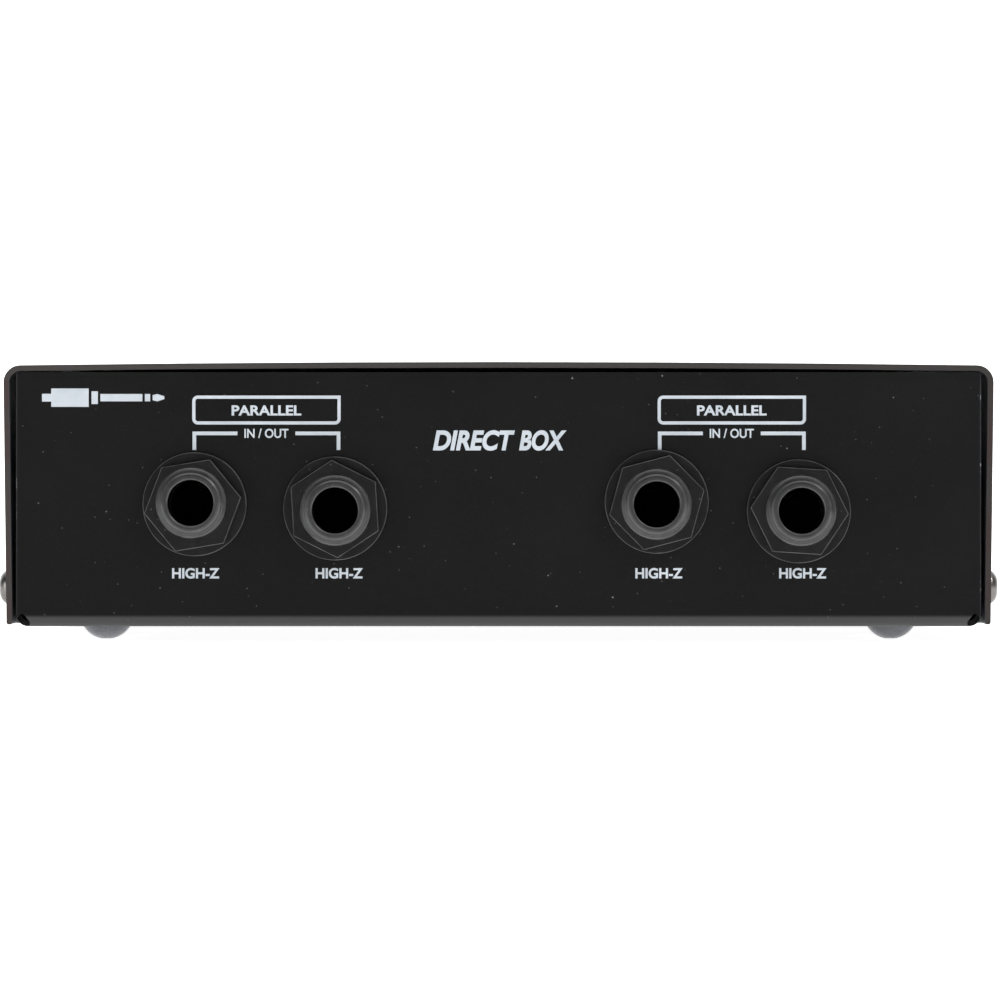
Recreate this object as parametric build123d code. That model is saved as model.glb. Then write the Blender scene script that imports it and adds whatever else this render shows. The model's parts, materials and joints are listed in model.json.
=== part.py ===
from build123d import *
import math
import os

# Two-channel passive direct injection box: a folded steel tray with a U-shaped cover over it.
# Frame: millimetres, +Z up, +X to the right as the front is seen, the front faces -Y.
# The origin is the middle of the object's footprint, on the surface that its feet stand on.

# ------------------------------------------------------------------ driving dimensions, mm
# Enclosure
COVER_WIDTH = 140.1         # across the cover, where its sides and top would meet without the bends
COVER_FOOT_WIDTH = 139.2    # across its lower edges, which the side screws pull in
COVER_DEPTH = 100.0
COVER_HEIGHT = 36.95        # tray underside to the cover's top, beside the bends
CROWN = 0.5                 # how much higher the cover's top is in the middle
COVER_LIFT = 0.3            # tray underside to the cover's lower edges
COVER_LIP = 0.4             # how far the cover's edge stands out past each panel
COVER_BEND = 2.4            # outside radius
SHEET = 0.8                 # steel thickness
CUT_EDGE = 0.22             # roundness that the paint gives a cut edge
TIP_EDGE = 0.36             # the cover's lower edges, filed nearly round
PANEL_WIDTH = 136.6
PANEL_HEIGHT = 36.0
TRAY_BEND = 1.8             # outside radius
FLANGE_WIDTH = 137.2        # across the outsides of the tray's side flanges
FLANGE_HEIGHT = 12.0
RELIEF = (2.1, 1.2, 52.0)   # slot where two bends of the tray meet: length, width, slope in degrees
RELIEF_MIDDLE = (1.05, 0.85)    # in from the panel's side, up from the tray's underside
RELIEF_OPENING = 0.5        # height of the notch from the slot out to the corner
FOOT_HEIGHT = 2.2
FOOT_RADIUS = 3.5
FOOT_FLAT = 0.9             # radius of the flat that each foot stands on
FOOT_X = 57.0
FOOT_INSET = (20.0, 9.0)    # from the front panel's outside, from the rear panel's
COVER_SCREW_INSET = 12.4    # from each panel's outside
COVER_SCREW_Z = 5.4         # above the tray's underside
PANEL_HEAD = (2.5, 2.1)     # side screw's head: radius, height

# Jacks, for a 6.35 mm plug. Each nose sits a little differently in its punched hole.
JACK_PLACES = [(-43.3, 17.5), (-23.0, 16.45), (22.25, 17.3), (42.6, 16.4)]    # x, above the tray
NUT_TURNS = [9.4, 33.5, 14.7, -3.7]                                 # degrees, as each was done up
NUT_SHIFTS = [(0.2, -0.35), (-0.1, 0.2), (0.05, 0.25), (-0.2, 0.0)]      # moulded hexagon off its thread
WASHER_SHIFTS = [(0.32, -0.18), (-0.1, 0.28), (0.1, 0.38), (-0.15, -0.08)]
BORE_RADIUS = 3.25
BORE_LENGTH = 13.0
GUIDE_END = 0.15            # the bore's close-fitting part ends this far out of the panel
THROAT_RADIUS = 3.45        # behind it
BORE_CHAMFER = 0.2
NOSE_REACH = 5.2            # panel face to nose face
THREAD_RADIUS = 4.95
THREAD_ROOT = 4.6
THREAD_PITCH = 1.0
NUT_FLATS = 12.0
NUT_THICKNESS = 2.5
NUT_EDGE = 0.14
WASHER_RADIUS = 7.35
WASHER_HOLE = 5.42
WASHER_THICKNESS = 0.8
HOUSING_SIZE = (16.0, 14.4, 27.5)    # width, height, depth
CHAMBER_WIDTH = 8.8
CHAMBER_TOP = 5.9                    # above the bore's axis
CHAMBER_FLOOR = -4.2
LEAF_WIDTH = 4.0
LEAF_THICKNESS = 0.35
LEAF_TWIST = 11.6                    # degrees, right side high
LEAF_BUMP = (0.15, 1.9, -20.5)       # lowest line of the contact bump: right, up, out of the panel
LEAF_ARM = (3.17, 11.0)              # from the bump to the leaf's root: up, towards the front
TIP_LIFT = 7.2                       # degrees that a plug lifts the leaf

# Outputs on the rear panel: three-pin male sockets in 26 x 31 mm flanges
SOCKET_X = 33.0
SOCKET_Z = 18.6                      # above the tray's underside
SOCKET_BORE = 8.1
SOCKET_DEPTH = 19.5
SOCKET_RIM = 3.0                     # rim's reach past the panel
SOCKET_FLANGE = (26.0, 31.0, 2.2)
SOCKET_HOLES = (19.0, 24.0)          # between the two flange screws, across and up
PIN_CIRCLE = 8.2
PIN_RADIUS = 1.2
PIN_ROOT = 0.95                      # where it passes through the insert
PIN_TIP = 1.2                        # pin's end, past the panel
INSERT_THICKNESS = 7.0

# Slide switches on the rear panel, levers moving up and down
LIFT_X = 57.0
PAD_X = 9.5
SWITCH_Z = 18.6
LIFT_TRAVEL = 3.0
PAD_TRAVEL = 6.0
LEVER = (4.0, 3.6)                   # width, height
LEVER_REACH = 3.4                    # past the panel
CARRIAGE = (6.6, 5.6, 2.6)
SWITCH_BODY = (9.0, 13.0, 7.4)       # width, height without the travel, depth
SWITCH_PLATE = 26.0                  # height without the travel
SWITCH_HOLE_INSET = 3.2
TERMINAL_PITCH = 4.0
TERMINAL_REACH = 4.0                 # behind the switch's body

# Board and what stands on it
BOARD_HALF_WIDTH = 61.0
BOARD_FRONT_GAP = 3.0                # from the front panel's outside
BOARD_REAR_GAP = 7.0
BOARD_Z = 4.8                        # board underside above the tray's underside
BOARD_THICKNESS = 1.6
STANDOFF_X = 54.0
STANDOFF_INSET = 34.0
LEG_BELOW_BOARD = 1.4
JACK_LEG_DROP = 16.8                 # from a jack's axis to the board's underside, the most there is
RESISTOR_SPAN = 10.0                 # between a resistor's two legs
CAPACITOR_SPAN = 5.0
TRANSFORMER_X = 33.0
CORE = (24.0, 12.0, 19.0)
YOKE = 3.6
CENTRE_LEG = 6.4
SIDE_LEG = 3.4
CORE_LIFT = 1.0

# Clearances
SLIP = 0.03                          # round fits within one assembly
TOUCH = 0.01                         # seats that would otherwise share a face

# ------------------------------------------------------------------ worked-out places
TRAY = FOOT_HEIGHT
PANEL_TO_PANEL = COVER_DEPTH - 2 * COVER_LIP
LENGTH = PANEL_TO_PANEL + NOSE_REACH + LEVER_REACH
FRONT = NOSE_REACH - LENGTH / 2
REAR = LENGTH / 2 - LEVER_REACH
BOARD_TOP = BOARD_Z + BOARD_THICKNESS
LEAN = math.degrees(math.atan2((COVER_WIDTH - COVER_FOOT_WIDTH) / 2, COVER_HEIGHT - COVER_BEND - COVER_LIFT))
PIN_ANGLES = (30.0, 150.0, 270.0)
INSERT_FACE = INSERT_THICKNESS - SOCKET_DEPTH
TRANSFORMER_Y = (FRONT + REAR) / 2 + 3.5
BOTTOM_ALIGN = (Align.CENTER, Align.CENTER, Align.MIN)


def slab(low, high):
    """Box from its low corner to its high corner."""
    size = [b - a for a, b in zip(low, high)]
    return Pos(*[(a + b) / 2 for a, b in zip(low, high)]) * Box(*size)


def rod(radius, start, end):
    """Round bar between two points."""
    run = Vector(*end) - Vector(*start)
    return Plane(origin=start, z_dir=run) * Cylinder(radius, run.length, align=BOTTOM_ALIGN)


def turned(points):
    """Solid of revolution about Z from (radius, height) points."""
    outline = Polyline(*[(radius, 0, height) for radius, height in points], close=True)
    return revolve(make_face(outline), Axis.Z)


def front_frame(x, z):
    """Frame on the front panel's face: right, up, out."""
    return Plane(origin=(x, FRONT, TRAY + z), x_dir=(1, 0, 0), z_dir=(0, -1, 0))


def rear_frame(x, z):
    """Frame on the rear panel's face: left as the front is seen, up, out."""
    return Plane(origin=(x, REAR, TRAY + z), x_dir=(-1, 0, 0), z_dir=(0, 1, 0))


def group(solids):
    return Compound(children=list(solids))


def write(node, shape):
    shape.label = node
    export_step(shape, f"parts/{node}.step")


# ------------------------------------------------------------------ screws and nuts
def cross_recess(across, depth, top):
    """Tapered cross, cut down into a screw head from its top."""
    arm = across * 0.22
    cross = Rectangle(across, arm) + Rectangle(arm, across)
    return extrude(Pos(0, 0, top) * cross, amount=-depth, taper=10)


def pan_screw(shank_radius, length, head_radius, head_height):
    """Pan-head screw along Z, its head standing on z = 0."""
    side = head_height * 0.3
    flat = head_radius * 0.35
    rim = Polyline((flat, head_height), (0, head_height), (0, 0), (head_radius, 0), (head_radius, side))
    across, up = head_radius - flat, head_height - side
    dome = EllipticalCenterArc((flat, side), across, up, start_angle=0, arc_size=90)
    head = revolve(Plane.XZ * make_face([*rim.edges(), dome]), Axis.Z)
    shank_side = [(shank_radius, 0.2), (shank_radius, 0.4 - length), (shank_radius - 0.4, -length)]
    shank = turned([(0, 0.2), *shank_side, (0, -length)])
    return head + shank - cross_recess(head_radius * 1.1, head_height * 0.55, head_height)


def countersunk_screw(shank_radius, length, head_radius):
    """Flat-head screw along Z, its head's top on z = 0."""
    cone = head_radius - shank_radius
    body = turned([(0, 0), (head_radius, 0), (head_radius, -0.2), (shank_radius, -0.2 - cone),
                   (shank_radius, 0.4 - length), (shank_radius - 0.4, -length), (0, -length)])
    return body - cross_recess(head_radius * 1.05, 1.1, 0)


def hex_nut(flats, thickness, hole_radius, chamfer):
    """Hexagon nut standing on z = 0, its corners turned down on the outer face."""
    corner = flats / math.sqrt(3)
    blank = extrude(RegularPolygon(corner, 6), amount=thickness)
    turned_blank = turned([(0, 0), (corner + 0.1, 0), (corner + 0.1, thickness - chamfer),
                           (flats / 2 - 0.1, thickness), (0, thickness)])
    hole = turned([(0, 0), (hole_radius, 0), (hole_radius, thickness - 0.3), (hole_radius + 0.3, thickness),
                   (0, thickness)])
    return (blank & turned_blank) - hole


# ------------------------------------------------------------------ enclosure
def cover_section(inset, foot):
    """Closed outline of the cover, drawn in from its skin by inset and ending at height foot."""
    half_top = COVER_WIDTH / 2 - inset
    half_foot = COVER_FOOT_WIDTH / 2 - inset
    top = TRAY + COVER_HEIGHT - inset
    crown = ThreePointArc((-half_top, top), (0, top + CROWN), (half_top, top))
    sides = Polyline((half_top, top), (half_foot, foot), (-half_foot, foot), (-half_top, top))
    face = make_face([crown, *sides.edges()])
    corners = face.vertices().sort_by(Axis.Y)[-2:]
    return fillet(corners, COVER_BEND - inset)


def cover_screw_places():
    """Frame of each side screw, on the cover's leaning skin: out of the box along Z."""
    rise = (COVER_SCREW_Z - COVER_LIFT) / (COVER_HEIGHT - COVER_BEND - COVER_LIFT)
    skin = (COVER_FOOT_WIDTH + rise * (COVER_WIDTH - COVER_FOOT_WIDTH)) / 2
    lean = math.radians(LEAN)
    for side in (-1, 1):
        for y in (FRONT + COVER_SCREW_INSET, REAR - COVER_SCREW_INSET):
            out = (side * math.cos(lean), 0, -math.sin(lean))
            yield Plane(origin=(side * skin, y, TRAY + COVER_SCREW_Z), x_dir=(0, 1, 0), z_dir=out)


def top_cover():
    foot = TRAY + COVER_LIFT
    start = Plane(origin=(0, REAR + COVER_LIP, 0), x_dir=(1, 0, 0), z_dir=(0, -1, 0))
    skin = extrude(start * cover_section(0, foot), amount=COVER_DEPTH)
    hollow = extrude(start * cover_section(SHEET, foot - 1), amount=COVER_DEPTH)
    cover = skin - hollow
    tips = [edge for edge in cover.edges().filter_by(Axis.Y) if edge.center().Z < foot + 0.01]
    cover = fillet(tips, TIP_EDGE)
    for end in (cover.faces().sort_by(Axis.Y)[0], cover.faces().sort_by(Axis.Y)[-1]):
        cover = fillet(end.edges(), CUT_EDGE)
    for place in cover_screw_places():
        cover -= place * Cylinder(1.7, 8)
    return cover


def tray_blank():
    """Front panel, floor and rear panel folded from one sheet, then the two side flanges."""
    top = TRAY + PANEL_HEIGHT
    half = PANEL_WIDTH / 2
    outer = slab((-half, FRONT, TRAY), (half, REAR, top))
    outer = fillet([e for e in outer.edges().filter_by(Axis.X) if e.center().Z < TRAY + 0.01], TRAY_BEND)
    inner = slab((-half - 1, FRONT + SHEET, TRAY + SHEET), (half + 1, REAR - SHEET, top + 1))
    low = [e for e in inner.edges().filter_by(Axis.X) if e.center().Z < TRAY + SHEET + 0.01]
    tray = outer - fillet(low, TRAY_BEND - SHEET)
    for face in (tray.faces().sort_by(Axis.Y)[0], tray.faces().sort_by(Axis.Y)[-1]):
        rims = [e for e in face.edges() if e.center().Z > TRAY + TRAY_BEND + 0.01]
        tray = fillet(rims, CUT_EDGE)

    edge = FLANGE_WIDTH / 2 - TRAY_BEND
    gap = TRAY_BEND + 0.6
    y0, y1 = FRONT + gap, REAR - gap
    for side in (-1, 1):
        x0, x1 = sorted((side * edge, side * (half + 1)))
        tray -= slab((x0, FRONT + TRAY_BEND, TRAY - 1), (x1, REAR - TRAY_BEND, TRAY + TRAY_BEND))
    width = FLANGE_WIDTH / 2
    fold = slab((-width, y0, TRAY), (width, y1, TRAY + FLANGE_HEIGHT))
    fold = fillet([e for e in fold.edges().filter_by(Axis.Y) if e.center().Z < TRAY + 0.01], TRAY_BEND)
    room = slab((SHEET - width, y0 - 1, TRAY + SHEET), (width - SHEET, y1 + 1, TRAY + FLANGE_HEIGHT + 1))
    low = [e for e in room.edges().filter_by(Axis.Y) if e.center().Z < TRAY + SHEET + 0.01]
    flanges = fold - fillet(low, TRAY_BEND - SHEET) - slab((-edge, y0 - 1, TRAY - 1), (edge, y1 + 1, top))
    return tray + flanges


def corner_reliefs():
    """Sloping slot through each lower corner, and the notch that opens it towards the corner itself."""
    length, width, slope = RELIEF
    inset, up = RELIEF_MIDDLE
    for side in (-1, 1):
        for y, way in ((FRONT, 1), (REAR, -1)):
            x = side * (PANEL_WIDTH / 2 - inset)
            ys = sorted((y - way, y + (TRAY_BEND + 0.7) * way))
            start = Plane(origin=(x, ys[1], TRAY + up), x_dir=(1, 0, 0), z_dir=(0, -1, 0))
            slot = SlotOverall(length, width, rotation=side * slope)
            yield extrude(start * slot, amount=ys[1] - ys[0])
            xs = sorted((x, side * (PANEL_WIDTH / 2 + 1)))
            yield slab((xs[0], ys[0], TRAY - 1), (xs[1], ys[1], TRAY + RELIEF_OPENING))


def chassis_tray():
    tray = tray_blank()
    for place in cover_screw_places():
        tray += place * Pos(0, 0, -2.9) * Cylinder(2.5, 2.2)
    for notch in corner_reliefs():
        tray -= notch
    for place in cover_screw_places():
        tray -= place * Cylinder(1.5 + SLIP, 12)
    for x, z in JACK_PLACES:
        tray -= front_frame(x, z) * Cylinder(THREAD_RADIUS + 0.15, 4)
    for side in (-1, 1):
        tray -= rear_frame(side * SOCKET_X, SOCKET_Z) * Cylinder(12.0, 4)
        for x, y in socket_screw_places():
            tray -= rear_frame(side * SOCKET_X, SOCKET_Z) * Pos(x, y) * Cylinder(1.6, 4)
    for x, travel in switch_places():
        frame = rear_frame(x, SWITCH_Z)
        slot = RectangleRounded(LEVER[0] + 1.4, travel + LEVER[1] + 1.2, 0.6)
        tray -= frame * Pos(0, 0, -2) * extrude(slot, amount=4)
        for y in switch_screw_heights(travel):
            tray -= frame * Pos(0, y) * Cylinder(1.35, 4)
    for x, y in standoff_places():
        tray -= Pos(x, y, TRAY) * Cylinder(2.0 + SLIP, 4)
    return tray


def cover_screws():
    return [place * Pos(0, 0, TOUCH) * pan_screw(1.5, 5.0, *PANEL_HEAD) for place in cover_screw_places()]


def foot_places():
    front, rear = FOOT_INSET
    return [(side * FOOT_X, y) for y in (FRONT + front, REAR - rear) for side in (-1, 1)]


def foot(x, y):
    """Stick-on dome of soft plastic, with a short straight rim under the floor."""
    rim = FOOT_HEIGHT - 0.25
    mid = (FOOT_RADIUS * 0.64, FOOT_HEIGHT * 0.27)
    side = Polyline((0, 0, 0), (FOOT_FLAT, 0, 0))
    dome = ThreePointArc((FOOT_FLAT, 0, 0), (mid[0], 0, mid[1]), (FOOT_RADIUS, 0, rim))
    top = Polyline((FOOT_RADIUS, 0, rim), (FOOT_RADIUS, 0, FOOT_HEIGHT), (0, 0, FOOT_HEIGHT), (0, 0, 0))
    return Pos(x, y, 0) * revolve(make_face([*side.edges(), dome, *top.edges()]), Axis.Z)


# ------------------------------------------------------------------ jacks, in the front panel's frame
def nose():
    """Nose about Z, from the panel's back to its front face, still without its bore.

    The thread's rings stop short of a smooth collar, which rounds off to the face.
    """
    points = [(0, -SHEET - 1), (THREAD_ROOT, -SHEET - 1)]
    turns = int((NOSE_REACH - 1.2) / THREAD_PITCH)
    for turn in range(turns):
        z = 0.1 + turn * THREAD_PITCH
        points.append((THREAD_ROOT, z))
        points.append((THREAD_RADIUS, z + 0.4))
        points.append((THREAD_RADIUS, z + 0.55))
        points.append((THREAD_ROOT, z + 0.95))
    face = NOSE_REACH
    points += [(THREAD_ROOT, face - 1.0), (4.72, face - 0.82), (4.62, face - 0.62), (4.3, face - 0.52),
               (4.22, face - 0.24), (4.02, face - 0.06), (3.8, face), (0, face)]
    return turned(points)


def jack_bore():
    """The close-fitting guide with its entry chamfer, and the wider throat behind it."""
    face = NOSE_REACH
    deep = face - BORE_LENGTH - 1
    return turned([(0, deep), (THROAT_RADIUS, deep), (THROAT_RADIUS, GUIDE_END), (BORE_RADIUS, GUIDE_END),
                   (BORE_RADIUS, face - BORE_CHAMFER), (BORE_RADIUS + BORE_CHAMFER, face), (0, face)])


def jack_housing(frame):
    width, height, depth = HOUSING_SIZE
    back = -SHEET - depth
    shell = slab((-width / 2, -height / 2, back), (width / 2, height / 2, -SHEET))
    shell = fillet(shell.edges().filter_by(Axis.Z), 1.0)
    shell += nose()
    deep = NOSE_REACH - BORE_LENGTH
    chamber = slab((-CHAMBER_WIDTH / 2, CHAMBER_FLOOR, back + 1.5), (CHAMBER_WIDTH / 2, CHAMBER_TOP, deep))
    shell = shell - jack_bore() - chamber
    for leg in jack_leg_boxes(0.08):
        shell -= leg
    return frame * shell


def jack_leg_boxes(grow):
    """The two contact legs, from the chamber's floor down past the board, wider by grow."""
    low = BOARD_Z - LEG_BELOW_BOARD - JACK_LEG_DROP - grow
    for x0, x1, z0, z1 in ((-0.6, 0.6, -15.4, -15.0), (3.7, 4.1, -12.6, -11.4)):
        yield slab((x0 - grow, low, z0 - grow), (x1 + grow, CHAMBER_FLOOR + 0.2, z1 + grow))


def jack_contacts(frame):
    """Sleeve contact along the floor, and the tip contact's fixed end with its strip down one side."""
    sleeve_leg, tip_leg = jack_leg_boxes(0)
    floor = CHAMBER_FLOOR + 0.1
    sleeve = slab((-2, floor, -16), (2, floor + LEAF_THICKNESS, -8.2)) + sleeve_leg
    strip = slab((3.7, CHAMBER_FLOOR, -12.6), (4.1, 4.9, -11.4)) + tip_leg
    strip += slab((3.7, 4.0, -12.6), (4.1, 5.5, -8.1))
    bar = slab((-2.4, 4.6, -8.9), (4.1, 5.3, -8.1))
    return [frame * sleeve, frame * (strip + bar)]


def leaf_frame(frame):
    """Frame of a tip leaf, at the middle of its bump and twisted with it."""
    return frame * Pos(*LEAF_BUMP) * Rot(0, 0, LEAF_TWIST)


def tip_leaf(frame):
    """Springy tip contact: root in front and high, contact bump low, free end turned up behind it."""
    half = LEAF_WIDTH / 2
    rise, run = LEAF_ARM

    def skin(lift):
        path = [(rise - LEAF_THICKNESS / 2, run), (0.35, 1.2), (0, 0), (0.35, -0.9), (1.3, -2.3)]
        return [(-half, up + lift, out) for up, out in path]

    low, high = skin(0), skin(LEAF_THICKNESS)
    slope_low = Line(low[0], low[1])
    bump_low = ThreePointArc(*low[1:4])
    end_low = Line(low[3], low[4])
    end = Line(low[4], high[4])
    end_high = Line(high[4], high[3])
    bump_high = ThreePointArc(high[3], high[2], high[1])
    slope_high = Line(high[1], high[0])
    root = Line(high[0], low[0])
    side = make_face([slope_low, bump_low, end_low, end, end_high, bump_high, slope_high, root])
    return leaf_frame(frame) * extrude(side, amount=LEAF_WIDTH, dir=(1, 0, 0))


def jack_washer(frame, shift):
    ring = Cylinder(WASHER_RADIUS, WASHER_THICKNESS, align=BOTTOM_ALIGN)
    ring = fillet(ring.edges().sort_by(Axis.Z)[-1], 0.15)
    hole = Cylinder(WASHER_HOLE, 4)
    return frame * Pos(shift[0], shift[1], 0) * (ring - hole)


def jack_nut(frame, turn, shift):
    """Moulded hexagon nut with softened edges, its hexagon a little off its thread."""
    hexagon = RegularPolygon(NUT_FLATS / math.sqrt(3), 6)
    blank = extrude(fillet(hexagon.vertices(), 0.25), amount=NUT_THICKNESS)
    blank = fillet(blank.faces().sort_by(Axis.Z)[-1].edges(), NUT_EDGE)
    thread, mouth = THREAD_RADIUS + SLIP, THREAD_RADIUS + SLIP + NUT_EDGE
    top = NUT_THICKNESS
    hole = turned([(0, -1), (thread, -1), (thread, top - NUT_EDGE), (mouth, top), (mouth, top + 1),
                   (0, top + 1)])
    return frame * Pos(0, 0, WASHER_THICKNESS) * (Pos(*shift) * Rot(0, 0, turn) * blank - hole)


# ------------------------------------------------------------------ output sockets, in the rear panel's frame
def socket_screw_places():
    across, up = SOCKET_HOLES
    return [(-across / 2, up / 2), (across / 2, -up / 2)]


def pin_places():
    for angle in PIN_ANGLES:
        a = math.radians(angle)
        yield PIN_CIRCLE / 2 * math.cos(a), PIN_CIRCLE / 2 * math.sin(a)


def socket_shell(frame):
    width, height, thickness = SOCKET_FLANGE
    flange = extrude(RectangleRounded(width, height, 3.0), amount=thickness)
    flange = chamfer(flange.edges().group_by(Axis.Z)[-1], 0.4)
    barrel = turned([(0, SOCKET_RIM), (9.4, SOCKET_RIM), (9.9, SOCKET_RIM - 0.5), (9.9, 0), (11.7, 0),
                     (11.7, -5), (10.2, -5), (10.2, -SOCKET_DEPTH), (0, -SOCKET_DEPTH)])
    shell = flange + barrel
    shell -= turned([(0, SOCKET_RIM), (SOCKET_BORE + 0.4, SOCKET_RIM), (SOCKET_BORE, SOCKET_RIM - 0.4),
                     (SOCKET_BORE, -SOCKET_DEPTH), (0, -SOCKET_DEPTH)])
    shell -= slab((-1.1, SOCKET_BORE - 1, INSERT_FACE), (1.1, SOCKET_BORE + 0.8, SOCKET_RIM))
    for x, y in socket_screw_places():
        shell -= Pos(x, y, 0) * turned([(0, -1), (1.65, -1), (1.65, thickness - 1.35), (3.0, thickness),
                                        (0, thickness)])
    return frame * shell


def socket_insert(frame):
    block = Pos(0, 0, -SOCKET_DEPTH) * Cylinder(SOCKET_BORE - SLIP, INSERT_THICKNESS, align=BOTTOM_ALIGN)
    block = chamfer(block.edges().sort_by(Axis.Z)[-1], 0.3)
    for x, y in pin_places():
        block -= Pos(x, y, -SOCKET_DEPTH) * Cylinder(PIN_ROOT + SLIP, 4 * INSERT_THICKNESS)
    return frame * block


def socket_pins(frame):
    """Round contact pins with domed ends, shouldered on the insert, their legs down through the board."""
    back = -SOCKET_DEPTH - 1.6
    leg_end = -(SOCKET_Z - BOARD_Z + LEG_BELOW_BOARD)
    for x, y in pin_places():
        shoulder = INSERT_FACE + TOUCH
        pin = turned([(0, back), (PIN_ROOT, back), (PIN_ROOT, shoulder), (PIN_RADIUS, shoulder),
                      (PIN_RADIUS, PIN_TIP - 0.9), (0.95, PIN_TIP - 0.25), (0.5, PIN_TIP), (0, PIN_TIP)])
        yield frame * (Pos(x, y) * pin + rod(0.55, (x, y, back + 0.8), (x, leg_end, back + 0.8)))


def socket_screws():
    for side in (-1, 1):
        for x, y in socket_screw_places():
            place = rear_frame(side * SOCKET_X, SOCKET_Z) * Pos(x, y, SOCKET_FLANGE[2] - 0.02)
            yield place * countersunk_screw(1.5, 8.0, 2.75)


def socket_nuts():
    for side in (-1, 1):
        for x, y in socket_screw_places():
            place = rear_frame(side * SOCKET_X, SOCKET_Z) * Pos(x, y, -SHEET - TOUCH) * Rot(180, 0, 0)
            yield place * hex_nut(5.5, 2.4, 1.5 + SLIP, 0.3)


# ------------------------------------------------------------------ slide switches, in the rear panel's frame
def switch_places():
    """Each switch's place across the panel and its travel."""
    return [(-LIFT_X, LIFT_TRAVEL), (LIFT_X, LIFT_TRAVEL), (-PAD_X, PAD_TRAVEL), (PAD_X, PAD_TRAVEL)]


def switch_screw_heights(travel):
    up = (SWITCH_PLATE + travel) / 2 - SWITCH_HOLE_INSET
    return (-up, up)


def terminal_boxes(grow):
    back = -SHEET * 2 - SWITCH_BODY[2]
    for step in (-1, 0, 1):
        y = step * TERMINAL_PITCH
        across, along = 0.25 + grow, 0.8 + grow
        yield slab((-across, y - along, back - TERMINAL_REACH), (across, y + along, back + 1.6 + grow))


def switch_case(frame, travel):
    """Moulded body on a steel plate that lies against the panel's back, hollow for the carriage."""
    width, height, depth = SWITCH_BODY
    plate_height = SWITCH_PLATE + travel
    plate = Pos(0, 0, -SHEET * 2) * extrude(RectangleRounded(width, plate_height, 1.5), amount=SHEET)
    tall = (height + travel) / 2
    case = plate + slab((-width / 2, -tall, -SHEET * 2 - depth), (width / 2, tall, -SHEET * 2))
    reach = travel / 2 + CARRIAGE[1] / 2 + 0.3
    front = -SHEET * 2 - 0.9
    case -= slab((-CARRIAGE[0] / 2 - 0.2, -reach, front - CARRIAGE[2] - 0.4),
                 (CARRIAGE[0] / 2 + 0.2, reach, front))
    slot = travel / 2 + LEVER[1] / 2 + 0.3
    case -= slab((-LEVER[0] / 2 - 0.3, -slot, front - 1), (LEVER[0] / 2 + 0.3, slot, 0))
    for y in switch_screw_heights(travel):
        case -= Pos(0, y, -SHEET * 1.5) * Cylinder(1.25 + SLIP, 3)
    for lug in terminal_boxes(0.04):
        case -= lug
    return frame * case


def switch_slider(frame, travel):
    """Carriage and lever in one moulding, at its lowest position, with grip ridges on the lever's end."""
    front = -SHEET * 2 - 0.9 - 0.2
    carriage = slab((-CARRIAGE[0] / 2, -CARRIAGE[1] / 2, front - CARRIAGE[2]),
                    (CARRIAGE[0] / 2, CARRIAGE[1] / 2, front))
    lever = slab((-LEVER[0] / 2, -LEVER[1] / 2, front - 0.5), (LEVER[0] / 2, LEVER[1] / 2, LEVER_REACH))
    lever = chamfer(lever.edges().group_by(Axis.Z)[-1], 0.25)
    slider = carriage + lever
    for step in (-1, 0, 1):
        slider -= slab((-LEVER[0], step * 0.95 - 0.22, LEVER_REACH - 0.4), (LEVER[0], step * 0.95 + 0.22, 9))
    return frame * Pos(0, -travel / 2, 0) * slider


def switch_terminals():
    for x, _ in switch_places():
        for lug in terminal_boxes(0):
            yield rear_frame(x, SWITCH_Z) * lug


def switch_screws():
    for x, travel in switch_places():
        for y in switch_screw_heights(travel):
            yield rear_frame(x, SWITCH_Z) * Pos(0, y, TOUCH) * pan_screw(1.25, 4.0, 2.25, 1.7)


def switch_wires():
    """Insulated wires from the switch terminals, back into the box and down onto the board."""
    start = -SHEET * 2 - SWITCH_BODY[2] - TERMINAL_REACH
    floor = BOARD_TOP - SWITCH_Z
    for x, _ in switch_places():
        frame = rear_frame(x, SWITCH_Z)
        for step in (-1, 0, 1):
            y = step * TERMINAL_PITCH
            out = start - 5.0 - 1.8 * (step + 1)
            route = [(0, y, start), (0, y, out), (0, floor, out)]
            path = FilletPolyline(*route, radius=2.5)
            yield frame * sweep(Plane(origin=route[0], z_dir=(0, 0, -1)) * Circle(0.55), path)


# ------------------------------------------------------------------ board and components, in the box's frame
def standoff_places():
    rows = (FRONT + STANDOFF_INSET, REAR - STANDOFF_INSET)
    return [(side * STANDOFF_X, y) for y in rows for side in (-1, 1)]


def transformer_pin_places(side):
    for y in (-1, 1):
        for step in (-2, -1, 1, 2):
            yield side * TRANSFORMER_X + step * 4.0, TRANSFORMER_Y + y * 8.6


def resistor_places():
    """Pad network between the transformers: the middle of each body."""
    return [(side * (4.0 + 4.5 * row), TRANSFORMER_Y - 8.0) for row in range(3) for side in (-1, 1)]


def capacitor_places():
    return [(side * LIFT_X * 0.93, TRANSFORMER_Y + 4.0) for side in (-1, 1)]


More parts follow.
